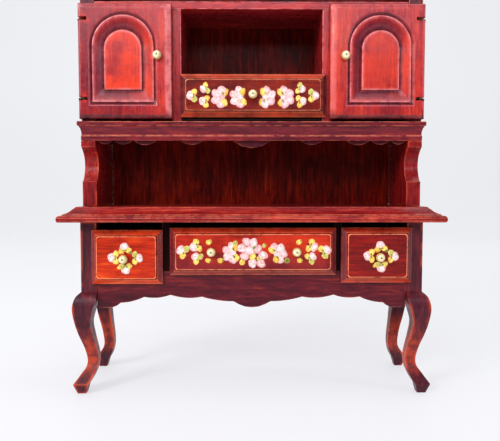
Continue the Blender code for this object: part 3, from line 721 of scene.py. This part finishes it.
# Arch, from outside it to the raised panel: share of the way from ARCH_OUTER to ARCH_INNER,
# then depth and amounts as above. The grooves are dark staining with painted shade, the bright
# lines rubbing with painted highlight, the purple slopes painted shade, and the orange the wood's
# tone with painted light.
DOOR_ARCH = [
    (-0.260, 0.00, 0.0, 0.0, 0.10, 0.2), (-0.190, 0.01, 0.3, 0.0, 0.2, 0.1),
    (-0.140, 0.14, 0.1, 0.1, 0.6, 0.0), (-0.050, 0.46, 0.0, 0.4, 0.8, 0.0),
    (0.000, 0.60, 0.0, 0.85, 0.3, 0.0), (0.030, 0.58, 0.0, 0.8, 0.2, 0.0),
    (0.055, 0.16, 0.7, 0.0, 0.2, 0.0), (0.085, 0.00, 1.0, 0.0, 0.2, 0.1),
    (0.140, 0.02, 0.4, 0.0, 0.2, 0.4), (0.290, 0.12, 0.0, 0.0, 0.5, 0.9),
    (0.480, 0.30, 0.0, 0.0, 0.9, 0.8), (0.640, 0.46, 0.1, 0.1, 1.0, 0.5),
    (0.790, 0.66, 0.0, 0.4, 0.8, 0.1), (0.870, 0.78, 0.0, 0.95, 0.0, 0.0),
    (0.905, 0.76, 0.0, 1.0, 0.0, 0.0), (0.930, 0.22, 0.4, 0.2, 0.0, 0.0),
    (0.955, 0.04, 0.9, 0.0, 0.0, 0.4), (1.000, 0.00, 0.5, 0.0, 0.0, 0.7),
    (1.120, 0.01, 0.0, 0.0, 0.0, 1.0), (1.500, 0.01, 0.0, 0.0, 0.0, 1.0),
]


# right_share: the run from the middle to the wall, over the head, down the wall, and to the sill.
SHARE_WIDTH, SHARE_HEAD, SHARE_WALL, SHARE_SILL = 9.0 * MM, 11.0 * MM, 20.0 * MM, 3.0 * MM


def right_share(co, middle, spring):
    """1 on the right wall of the arch, falling to 0 over the head and along the sill."""
    across = (co.x - middle) / SHARE_WIDTH
    below_head = 1.0 - max(0.0, co.z - spring) / SHARE_HEAD
    above_sill = min(1.0, max(0.0, (co.z - spring + SHARE_WALL) / SHARE_SILL))
    return min(1.0, max(0.0, across)) * max(0.0, below_head) * above_sill


def door(word, seed):
    """Slab door with a routed arch; the saw kerfs for its knife hinges are cut through it."""
    node = "door_" + word
    low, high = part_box(node)
    side, dusk, knob_wear_and_highlight, panel_glow = DOORS[word]
    middle = side * ARCH_MIDDLE
    outer, inner = ((half * MM, low.z + foot * MM, high.z - head * MM)
                    for half, foot, head in (ARCH_OUTER, ARCH_INNER))
    spring = outer[2] - outer[0]
    hinge_x = low.x if side < 0 else high.x
    left_chamfer = HINGE_SIDE if side < 0 else KNOB_SIDE
    right_chamfer = KNOB_SIDE if side < 0 else HINGE_SIDE

    def on_knob_side(co):
        return abs(co.x - hinge_x) > high.x - low.x - KNOB_BAND

    def dusk_at(co):
        """Painted purple shade at the left end, none at the right end."""
        return dusk * (1.0 - (co.x - low.x) / (high.x - low.x))

    rings = []
    for share, below, wear_and_highlight, stain_and_shade, purple_shade, orange_and_light in DOOR_EDGE:

        def depth_of(x, z, below=below):
            """The hinge side and the top are hardly eased; the other two sides slope fully."""
            from_hinge = (abs(x - hinge_x) - EASE_START) / EASE_SPAN
            from_top = (high.z - z - EASE_START) / EASE_SPAN
            near = min(1.0, max(0.0, min(from_hinge, from_top)))
            eased = below * 0.4 if below < 2.0 else below
            return low.y + (eased + (below - eased) * near) * MM

        def wear_and_highlight_at(co, most=wear_and_highlight):
            """Rubbing and painted highlight: most on the knob side, least on the lower edge, which
            faces down.
            """
            if co.z < low.z + FOOT_BAND:
                return most * 0.2
            return most * (knob_wear_and_highlight if on_knob_side(co) else 0.8)

        def stain_and_shade_at(co, most=stain_and_shade, depth=below):
            """Painted shade: the lower edge, which faces down, is the darkest."""
            if co.z < low.z + FOOT_BAND:
                return max(most, 0.9 if depth > 0.1 else 0.2)
            return most * 0.8

        def purple_shade_at(co, most=purple_shade):
            """Painted purple shade on the lower edge, which faces down."""
            return max(most if co.z < low.z + FOOT_PURPLE else most * 0.5, dusk_at(co))

        def orange_and_light_at(co, most=orange_and_light, depth=below):
            """Painted light: the right door's knob side is lit orange."""
            return 0.6 if side > 0 and on_knob_side(co) and depth < 1.2 else most

        ring, angles = slab_ring(
            low.x + share * left_chamfer, high.x - share * right_chamfer,
            low.z + share * ENDS, high.z - share * ENDS, middle, spring, depth_of)
        if below > BACK:
            rings.append((ring, wear_and_highlight, stain_and_shade, purple_shade, orange_and_light))
        else:
            rings.append((ring, wear_and_highlight_at, stain_and_shade_at, purple_shade_at, orange_and_light_at))
    for share, below, wear_and_highlight, stain_and_shade, purple_shade, orange_and_light in DOOR_ARCH:

        def purple_shade_at(co, most=purple_shade):
            """Less of the painted purple shade on the right of the moulding."""
            return max(most * (1.0 - 0.85 * right_share(co, middle, spring)), dusk_at(co))

        def orange_and_light_at(co, most=orange_and_light):
            """Painted light: the orange shows on the right, and a little on the left."""
            return most * (0.2 + 0.8 * right_share(co, middle, spring))

        half, z_low, z_high = (a + (b - a) * share for a, b in zip(outer, inner))
        ring = arch_ring(middle, half, z_low, z_high, low.y + below * MM, angles)
        if share < MOULDING:
            rings.append((ring, wear_and_highlight, stain_and_shade, purple_shade_at, orange_and_light_at))
        else:
            rings.append((ring, wear_and_highlight, stain_and_shade, purple_shade, orange_and_light * panel_glow))
    look = wood("wood_door_" + word, "door", "Z", seed, wear_and_highlight="points", gloss=DOOR_GLOSS)
    obj = ring_stack("carved_door_" + word, rings, look)
    saw_kerfs(obj, word, hinge_x, low.y)
    even_normals(obj)
    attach(obj, "door_" + word)
    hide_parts(node)


def saw_kerfs(obj, word, hinge_x, face_y):
    """Cut the two kerfs where the CAD hinge leaves lie."""
    cutters = []
    for place in ("lower", "upper"):
        leaf_low, leaf_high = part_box("hinge_" + word + "_" + place + "_door_leaf")
        case_low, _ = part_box("hinge_" + word + "_" + place + "_case_leaf")
        middle = (leaf_low.z + case_low.z + leaf_high.z - leaf_low.z) / 2
        bm = bmesh.new()
        where = Matrix.Translation((hinge_x, face_y, middle))
        size = Matrix.Diagonal((KERF_WIDE, KERF_DEEP, KERF_TALL, 1.0))
        bmesh.ops.create_cube(bm, size=1.0, matrix=where @ size)
        mesh = bpy.data.meshes.new("kerf")
        bm.to_mesh(mesh)
        bm.free()
        cutter = bpy.data.objects.new("kerf", mesh)
        bpy.context.scene.collection.objects.link(cutter)
        cut = obj.modifiers.new("kerf", "BOOLEAN")
        cut.operation = "DIFFERENCE"
        cut.object = cutter
        cut.solver = "EXACT"
        cutters.append(cutter)
    bpy.context.view_layer.update()
    evaluated = obj.evaluated_get(bpy.context.evaluated_depsgraph_get())
    sawn = bpy.data.meshes.new_from_object(evaluated)
    obj.modifiers.clear()
    obj.data = sawn
    for cutter in cutters:
        bpy.data.objects.remove(cutter)


# ---------------------------------------------------------------- knobs and blossoms

# Share of the radius and of the height, from the foot to the middle of the dimple.
KNOB_PROFILE = [
    (0.50, 0.0), (0.60, 0.02), (0.80, 0.10), (0.94, 0.24), (1.0, 0.42), (0.985, 0.56),
    (0.92, 0.70), (0.80, 0.83), (0.62, 0.93), (0.45, 0.98), (0.33, 1.0), (0.22, 0.985),
    (0.10, 0.965),
]
KNOB_STEPS = 28


def knob(node, body, material):
    """Turned bead: flat foot, full waist, shallow dimple round the painted dot."""
    low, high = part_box(node)
    centre = (low + high) / 2
    radius = (high.x - low.x) / 2
    tall = high.y - low.y
    bm = bmesh.new()
    loops = []
    for reach, height in KNOB_PROFILE:
        angles = [2 * math.pi * step / KNOB_STEPS for step in range(KNOB_STEPS)]
        loops.append([bm.verts.new((radius * reach * math.cos(angle),
                                    radius * reach * math.sin(angle), tall * height))
                      for angle in angles])
    close_loops(bm, loops)
    obj = smooth_object("bead_" + node, bm, material)
    obj.location = (centre.x, high.y, centre.z)
    obj.rotation_euler = (math.pi / 2, 0.0, 0.0)
    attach(obj, body)
    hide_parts(node)


# paint: display colours of a dab's middle and of its rim
PAINTS = {
    "white": ((250, 242, 240), (232, 190, 188)),
    "pink": ((246, 226, 226), (224, 158, 160)),
    "yellow": ((255, 242, 128), (236, 196, 84)),
    "gold": ((250, 224, 100), (226, 172, 72)),
    "green": ((200, 210, 114), (232, 226, 132)),
    "leaf": ((118, 134, 54), (190, 192, 92)),
    "red": ((132, 20, 10), (150, 46, 26)),
}

# Share of a dab's reach and of its height, from the rim up.
DAB_PROFILE = [(1.0, 0.0), (0.97, 0.45), (0.84, 0.78), (0.58, 0.95), (0.25, 0.92)]
DAB_STEPS = 18
DAB_SUNK = 0.04 * MM  # how far the rim lies below the painted face
# Dabs climb by this much, in mm, and start again after this many.
LAYER_RISE, LAYER_COUNT = 0.006, 12


class Posy:
    """The blossoms on one drawer, as one mesh of raised dabs of paint.

    Places and sizes are in mm from the origin. Blooms, sprigs and buds are turned in degrees, dabs
    and strokes in radians.
    """

    def __init__(self, word, face_y, x, z):
        self.word = word
        self.face_y = face_y
        self.origin = (x, z)
        self.bm = bmesh.new()
        self.colour = self.bm.verts.layers.float_color.new("dab")
        self.layer = 0

    def dab(self, x, z, wide, tall, turn, paint, height=0.20):
        """A domed stroke; later dabs lie a little higher so that they overlap cleanly."""
        middle, rim = (srgb(*colour) for colour in PAINTS[paint])
        self.layer += 1
        base = self.face_y + DAB_SUNK
        lift = height + LAYER_RISE * (self.layer % LAYER_COUNT)
        lobes = CHOICE.uniform(0, 2 * math.pi)
        loops = []
        for reach, share in DAB_PROFILE:
            blend = min(1.0, max(0.0, (reach - 0.45) / 0.55))
            colour = [m + (r - m) * blend for m, r in zip(middle, rim)]
            loop = []
            for step in range(DAB_STEPS):
                angle = 2 * math.pi * step / DAB_STEPS
                bulge = 1 + 0.055 * math.sin(3 * angle + lobes) + 0.03 * math.sin(5 * angle - lobes)
                u = wide * reach * bulge * math.cos(angle)
                v = tall * reach * bulge * math.sin(angle)
                px = x + u * math.cos(turn) - v * math.sin(turn)
                pz = z + u * math.sin(turn) + v * math.cos(turn)
                vert = self.bm.verts.new((self.origin[0] + px * MM, base - lift * share * MM,
                                          self.origin[1] + pz * MM))
                vert[self.colour] = colour
                loop.append(vert)
            loops.append(loop)
        close_loops(self.bm, loops)

    def stroke(self, bloom, reach, angle, wide, tall, paint, height=0.20, twist=0.0):
        """A dab at an angle from a bloom's middle; its lengths are shares of the bloom's size."""
        x, z, size = bloom
        self.dab(x + reach * size * math.cos(angle), z + reach * size * math.sin(angle),
                 wide * size, tall * size, angle + twist, paint, height)

    def sprig(self, x, z, size, towards, outer="white", sides=("yellow", "yellow")):
        """Half-open bloom: a pale petal outside, two coloured ones beside a red eye."""
        here = (x, z, size)
        facing = math.radians(towards)
        self.stroke(here, 0.50, facing + math.pi, 0.62, 0.72, outer)
        for sign, paint in zip((-1, 1), sides):
            angle = facing + sign * math.radians(78)
            self.stroke(here, 0.52, angle, 0.56, 0.48, paint)
            self.stroke(here, 0.22, angle, 0.24, 0.13, "leaf", 0.23, 0.3)
        self.stroke(here, 0.46, facing, 0.22, 0.19, "red", 0.24)

    def bloom(self, x, z, size, towards, petals=3, outer="white"):
        """Open bloom: a fan of pale petals away from the eye, yellow strokes beside it."""
        here = (x, z, size)
        facing = math.radians(towards)
        for index in range(petals):
            angle = facing + math.pi + math.radians(58) * (index - (petals - 1) / 2)
            self.stroke(here, 0.56, angle, 0.50, 0.43, "pink" if index % 2 else outer)
        for sign, paint in ((-1, "yellow"), (1, "gold")):
            self.stroke(here, 0.52, facing + sign * math.radians(62), 0.42, 0.34, paint)
        self.dab(x, z, 0.38 * size, 0.30 * size, facing, outer, 0.22)
        for sign in (-1, 1):
            self.stroke(here, 0.38, facing + sign * math.radians(75), 0.20, 0.10, "leaf", 0.25, 0.4)
        self.stroke(here, 0.42, facing, 0.15, 0.13, "red", 0.26)

    def bud(self, x, z, size, paint="yellow", turn=0):
        """One dab with a leaf stroke at its end."""
        angle = math.radians(turn)
        self.dab(x, z, size, 0.86 * size, angle, paint)
        self.stroke((x, z, size), 0.62, angle, 0.34, 0.24, "leaf", 0.23, math.radians(40))

    def place(self, material):
        bmesh.ops.recalc_face_normals(self.bm, faces=self.bm.faces)
        obj = smooth_object("blossoms_" + self.word, self.bm, material)
        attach(obj, "drawer_" + self.word)


def knob_centre(node):
    low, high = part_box(node)
    return (low.x + high.x) / 2, (low.z + high.z) / 2


# Middle bloom of the wide drawer: petals as x, z in mm from the middle, and the paint.
BIG_BLOOM = [
    (-4.5, 1.3, "white"), (-2.7, 3.6, "pink"), (-0.2, 3.3, "white"), (-3.4, -1.6, "pink"),
    (-0.5, -4.2, "white"), (2.6, -4.3, "pink"), (3.4, -1.3, "white"), (1.3, 1.0, "pink"),
    (-1.6, 0.4, "white"),
]


def paint_blossoms(faces):
    """Posies on the four drawers; faces gives the depth of each painted face."""
    material = blossom_paint()
    for word in ("left", "right"):
        posy = Posy(word, faces[word], *knob_centre("knob_" + word))
        posy.sprig(0.4, 3.3, 2.4, -80, sides=("gold", "yellow"))
        posy.sprig(0.6, -3.0, 2.4, 95, sides=("yellow", "green"))
        posy.sprig(-3.2, 0.5, 2.5, 0)
        posy.sprig(4.4, 0.3, 2.4, 178, sides=("green", "yellow"))
        posy.bud(-1.8, -3.2, 0.8, "gold", 40)
        posy.bud(2.4, 2.4, 0.7, "leaf", -30)
        posy.place(material)

    posy = Posy("upper", faces["upper"], *knob_centre("knob_upper"))
    for side, facing in ((-1, 0), (1, 180)):
        posy.sprig(side * 21.9, -0.3, 2.4, facing, sides=("green", "yellow"))
        posy.sprig(side * 17.3, 2.4, 2.1, facing - side * 20, sides=("green", "yellow"))
        posy.sprig(side * 17.4, -2.5, 2.3, facing + side * 10, sides=("yellow", "gold"))
        posy.bloom(side * 11.5, -0.9, 4.0, facing + side * 4, 4, "pink")
        posy.bloom(side * 4.7, -0.9, 3.9, facing - side * 6, 4, "white")
    posy.place(material)

    left_x, left_z = knob_centre("knob_wide_left")
    right_x, _ = knob_centre("knob_wide_right")
    posy = Posy("wide", faces["wide"], (left_x + right_x) / 2, left_z)
    posy.bloom(-7.8, -0.4, 3.9, 5, 4, "white")
    for x, z, paint in BIG_BLOOM:
        posy.dab(x, z, 1.85, 1.6, math.atan2(z + 0.6, x + 0.4), paint)
    posy.dab(-0.4, -1.8, 1.5, 1.1, 0.9, "yellow")
    posy.dab(1.9, -2.6, 1.1, 0.8, -0.5, "green")
    posy.dab(0.1, 1.5, 0.8, 0.5, 1.2, "leaf", 0.24)
    posy.dab(1.0, -1.1, 0.45, 0.4, 0.0, "red", 0.28)
    posy.bloom(8.4, -0.6, 3.9, 205, 4, "white")
    posy.bud(-7.0, 3.2, 1.1, "green", 20)
    posy.bud(3.8, 2.3, 0.9, "green", 60)
    posy.bud(-4.3, -3.8, 1.3, "yellow", 70)
    posy.bud(-12.4, -3.2, 1.25, "gold", 0)
    posy.bud(12.2, -3.3, 1.15, "leaf", 30)
    for side, facing in ((-1, 0), (1, 180)):
        posy.sprig(side * 25.8, 0.0, 2.6, facing + side * 30, sides=("yellow", "green"))
        posy.sprig(side * 21.0, 2.3, 2.5, facing - side * 25, sides=("yellow", "yellow"))
        posy.sprig(side * 20.7, -2.5, 2.3, facing + side * 40, sides=("yellow", "green"))
        posy.bud(side * 16.6, 3.6, 1.2, "yellow", 30)
        posy.bud(side * 16.9, -3.2, 1.15, "gold", -20)
    posy.place(material)


# ---------------------------------------------------------------- studio

# The floor in metres: its front edge, where it bends up, the radius of the bend, the height of
# the backdrop, and half its width.
FLOOR_FRONT, FLOOR_BACK, FLOOR_BEND, FLOOR_TOP, FLOOR_HALF = -1.6, 0.55, 0.25, 1.6, 1.8
BEND_STEPS = 12

SKY = (0.95, 0.97, 1.0, 1.0)
SKY_LIGHT, SKY_SEEN = 0.20, 0.82  # strength as a light, and as the backing that shows

# light: place and target in metres, width and height in metres, power, colour
LIGHTS = {
    "key": ((-0.46, -0.50, 0.44), (0.0, 0.0, 0.09), (0.26, 0.26), 2.7, (1.0, 0.97, 0.95)),
    "front": ((0.0, -0.80, 0.44), (0.0, 0.0, 0.12), (0.66, 0.26), 1.9, (0.92, 0.90, 1.0)),
    "top": ((0.05, -0.12, 0.75), (0.0, 0.0, 0.09), (0.60, 0.30), 1.1, (1.0, 0.98, 0.97)),
    "left_strip": ((-0.50, -0.20, 0.14), (0.0, 0.0, 0.1), (0.14, 0.5), 0.4, (0.80, 0.80, 1.0)),
    "right_strip": ((0.50, -0.20, 0.16), (0.0, 0.0, 0.1), (0.08, 0.5), 0.6, (0.86, 0.86, 1.0)),
    "backdrop_wash": ((0.0, 0.10, 0.95), (0.0, 0.75, 0.20), (1.4, 0.4), 1.8, (1.0, 1.0, 1.0)),
}

SENSOR_WIDTH, LENS = 36.0, 43.2
CAMERA_PLACE = Vector((-2.65, -238.4, 78.0)) * MM
CAMERA_DOWN, CAMERA_RIGHT = 3.34, 0.49  # degrees


def studio_floor():
    """A floor that curves up into a backdrop."""
    profile = [(FLOOR_FRONT, 0.0), (FLOOR_BACK, 0.0)]
    for step in range(1, BEND_STEPS + 1):
        angle = math.pi / 2 * step / BEND_STEPS
        profile.append((FLOOR_BACK + FLOOR_BEND * math.sin(angle),
                        FLOOR_BEND * (1 - math.cos(angle))))
    profile.append((FLOOR_BACK + FLOOR_BEND, FLOOR_TOP))
    bm = bmesh.new()
    rows = [[bm.verts.new((x, y, z)) for x in (-FLOOR_HALF, FLOOR_HALF)] for y, z in profile]
    for near, far in zip(rows, rows[1:]):
        bm.faces.new((near[0], near[1], far[1], far[0]))
    smooth_object("studio_floor", bm, backdrop_paper())


def area_light(name, place, target, size, power, colour):
    data = bpy.data.lights.new(name, "AREA")
    data.shape = "RECTANGLE"
    data.size, data.size_y = size
    data.energy = power
    data.color = colour
    obj = bpy.data.objects.new(name, data)
    bpy.context.scene.collection.objects.link(obj)
    obj.location = place
    aim = Vector(target) - Vector(place)
    obj.rotation_euler = aim.to_track_quat("-Z", "Y").to_euler()


def studio():
    studio_floor()
    world = bpy.data.worlds.new("studio")
    bpy.context.scene.world = world
    world.use_nodes = True
    tree = world.node_tree
    backing = tree.nodes["Background"]
    backing.inputs["Color"].default_value = SKY
    seen = add(tree, "LightPath").outputs["Is Camera Ray"]
    plug(tree, backing.inputs["Strength"], spread(tree, seen, 0.0, 1.0, SKY_LIGHT, SKY_SEEN))
    for name, light in LIGHTS.items():
        area_light(name, *light)


def camera():
    data = bpy.data.cameras.new("camera")
    data.sensor_width = SENSOR_WIDTH
    data.lens = LENS
    data.clip_start = 0.01
    obj = bpy.data.objects.new("camera", data)
    bpy.context.scene.collection.objects.link(obj)
    obj.location = CAMERA_PLACE
    obj.rotation_euler = (math.radians(90 - CAMERA_DOWN), 0.0, math.radians(-CAMERA_RIGHT))
    bpy.context.scene.camera = obj


# ---------------------------------------------------------------- the whole scene

# Each seed shifts the grain, so that no two boards match.
FRONT_SEEDS = {"left": 60, "wide": 62, "right": 64, "upper": 66}
DOOR_SEEDS = {"left": 71, "right": 74}
KNOBS = {
    "knob_left": "drawer_left", "knob_right": "drawer_right", "knob_wide_left": "drawer_wide",
    "knob_wide_right": "drawer_wide", "knob_upper": "drawer_upper",
    "knob_door_left": "door_left", "knob_door_right": "door_right",
}

dress_boards()
dress_boxes()
FACES = {word: drawer_front(word, seed) for word, seed in FRONT_SEEDS.items()}
for word, seed in DOOR_SEEDS.items():
    door(word, seed)
BEAD = bead_paint()
for node, body in KNOBS.items():
    knob(node, body, BEAD)
paint_blossoms(FACES)
studio()
camera()
bpy.context.scene.view_settings.view_transform = "Standard"
bpy.context.scene.view_settings.look = "Medium High Contrast"
